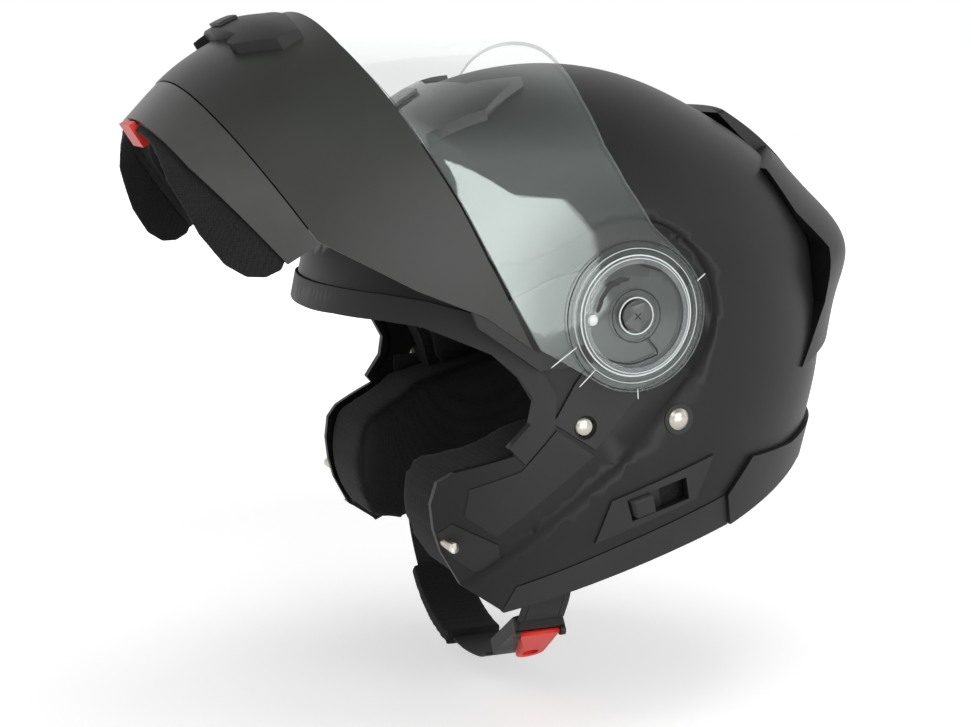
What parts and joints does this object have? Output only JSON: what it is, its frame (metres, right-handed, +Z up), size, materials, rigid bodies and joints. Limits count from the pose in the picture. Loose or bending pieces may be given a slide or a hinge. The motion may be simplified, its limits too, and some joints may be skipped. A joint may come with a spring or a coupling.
{
  "type": "modular motorcycle helmet",
  "caption": "Modular full-face helmet with a raised flip-up chin bar, clear visor, drop-down sun visor, padded lining and a strap with a quick-release buckle.",
  "frame": {"origin": "middle of the pivot axis that the chin bar and the visor turn about, inside the head space", "axes": "+Z up as worn, the helmet faces -Y, +X is the wearer's left; the helmet leans forward 15 degrees and the chin bar is raised 72 degrees"},
  "size_m": [0.2466, 0.381, 0.3359],
  "materials": {
    "shell_paint": "matte",
    "chin_paint": "matte",
    "trim_plastic": "satin",
    "black_plastic": "textured",
    "gloss_black": "gloss",
    "gasket_rubber": "matte",
    "foam": "beaded foam",
    "lining_fabric": "brushed knit",
    "clear_lens": "clear polycarbonate",
    "sun_tint": "tinted polycarbonate",
    "steel": "polished",
    "red_plastic": "satin",
    "webbing": "woven",
    "pale_ring": "gloss"
  },
  "bodies": {
    "shell": {"base_plate_left": "black_plastic", "base_plate_right": "black_plastic", "brow_gasket": "gasket_rubber", "brow_vent_base": "gloss_black", "buckle_body": "black_plastic", "buckle_tongue": "black_plastic", "cheek_pad_left": "lining_fabric", "cheek_pad_right": "lining_fabric", "chin_strap_left": "webbing", "chin_strap_right": "webbing", "crown_pad": "lining_fabric", "edge_trim": "black_plastic", "eps_liner": "foam", "exhaust_vent": "black_plastic", "jaw_cover_left": "black_plastic", "jaw_cover_right": "black_plastic", "lever_bezel": "black_plastic", "neck_diffuser": "black_plastic", "neck_roll": "lining_fabric", "outer_shell": "shell_paint", "pivot_screw_left": "gloss_black", "pivot_screw_right": "gloss_black", "rear_spoiler": "shell_paint", "rivet_washers": "black_plastic", "strap_anchors": "steel", "strap_pad": "lining_fabric", "strap_rivets": "steel", "striker_cover_left": "black_plastic", "striker_cover_right": "black_plastic", "striker_pin_left": "steel", "striker_pin_right": "steel", "sun_pivot_pins": "steel"},
    "chin_bar": {"breath_guard": "black_plastic", "chin_arm_left": "black_plastic", "chin_arm_right": "black_plastic", "chin_curtain_left": "lining_fabric", "chin_curtain_right": "lining_fabric", "chin_liner": "foam", "chin_pad_left": "lining_fabric", "chin_pad_right": "lining_fabric", "chin_rim_gasket": "gasket_rubber", "chin_shell": "chin_paint", "chin_trim": "trim_plastic", "chin_vent_housing": "black_plastic", "latch_pins": "steel"},
    "visor": {"visor_lens": "clear_lens", "visor_ring_left": "pale_ring", "visor_ring_right": "pale_ring"},
    "sun_visor": {"sun_visor": "sun_tint"},
    "sun_lever": {"sun_lever": "black_plastic"},
    "top_vent_slider": {"top_vent_slider": "black_plastic"},
    "chin_vent_slider": {"chin_vent_slider": "black_plastic"},
    "release_button": {"release_button": "red_plastic"},
    "latch_left": {"latch_hook_left": "black_plastic"},
    "latch_right": {"latch_hook_right": "black_plastic"},
    "buckle_lever": {"buckle_lever": "red_plastic"}
  },
  "joints": [
    {"name": "chin_bar_hinge", "type": "hinge", "parent": "shell", "child": "chin_bar", "pos_m": [0, 0, 0], "axis": [-1, 0, 0], "range_deg": [-72, 0]},
    {"name": "visor_hinge", "type": "hinge", "parent": "chin_bar", "child": "visor", "pos_m": [0, 0, 0], "axis": [-1, 0, 0], "range_deg": [0, 40]},
    {"name": "sun_visor_hinge", "type": "hinge", "parent": "shell", "child": "sun_visor", "pos_m": [0, 0, 0], "axis": [1, 0, 0], "range_deg": [0, 30]},
    {"name": "sun_lever_slide", "type": "slide", "parent": "shell", "child": "sun_lever", "axis": [0, 0.9659, 0.2588], "range_m": [0, 0.016]},
    {"name": "top_vent_slide", "type": "slide", "parent": "shell", "child": "top_vent_slider", "axis": [0, 0.7986, 0.6018], "range_m": [0, 0.006]},
    {"name": "chin_vent_slide", "type": "slide", "parent": "chin_bar", "child": "chin_vent_slider", "axis": [0, -0.9109, -0.4127], "range_m": [0, 0.005]},
    {"name": "release_button_press", "type": "slide", "parent": "chin_bar", "child": "release_button", "axis": [0, 0.5446, -0.8387], "range_m": [0, 0.004], "stiffness_N_per_m": 400},
    {"name": "latch_left_hinge", "type": "hinge", "parent": "chin_bar", "child": "latch_left", "pos_m": [0.0965, -0.11417, 0.05463], "axis": [-1, 0, 0], "range_deg": [0, 6], "stiffness_Nm_per_rad": 0.02},
    {"name": "latch_right_hinge", "type": "hinge", "parent": "chin_bar", "child": "latch_right", "pos_m": [-0.0965, -0.11417, 0.05463], "axis": [-1, 0, 0], "range_deg": [0, 6], "stiffness_Nm_per_rad": 0.02},
    {"name": "buckle_lever_hinge", "type": "hinge", "parent": "shell", "child": "buckle_lever", "pos_m": [0.07517, -0.028, -0.16349], "axis": [0, -1, 0], "range_deg": [0, 40], "stiffness_Nm_per_rad": 0.02}
  ],
  "couplings": [
    {"joint": "sun_lever_slide", "follows": "sun_visor_hinge", "m_per_rad": 0.0305},
    {"joint": "latch_left_hinge", "follows": "release_button_press", "rad_per_m": 26},
    {"joint": "latch_right_hinge", "follows": "release_button_press", "rad_per_m": 26}
  ]
}
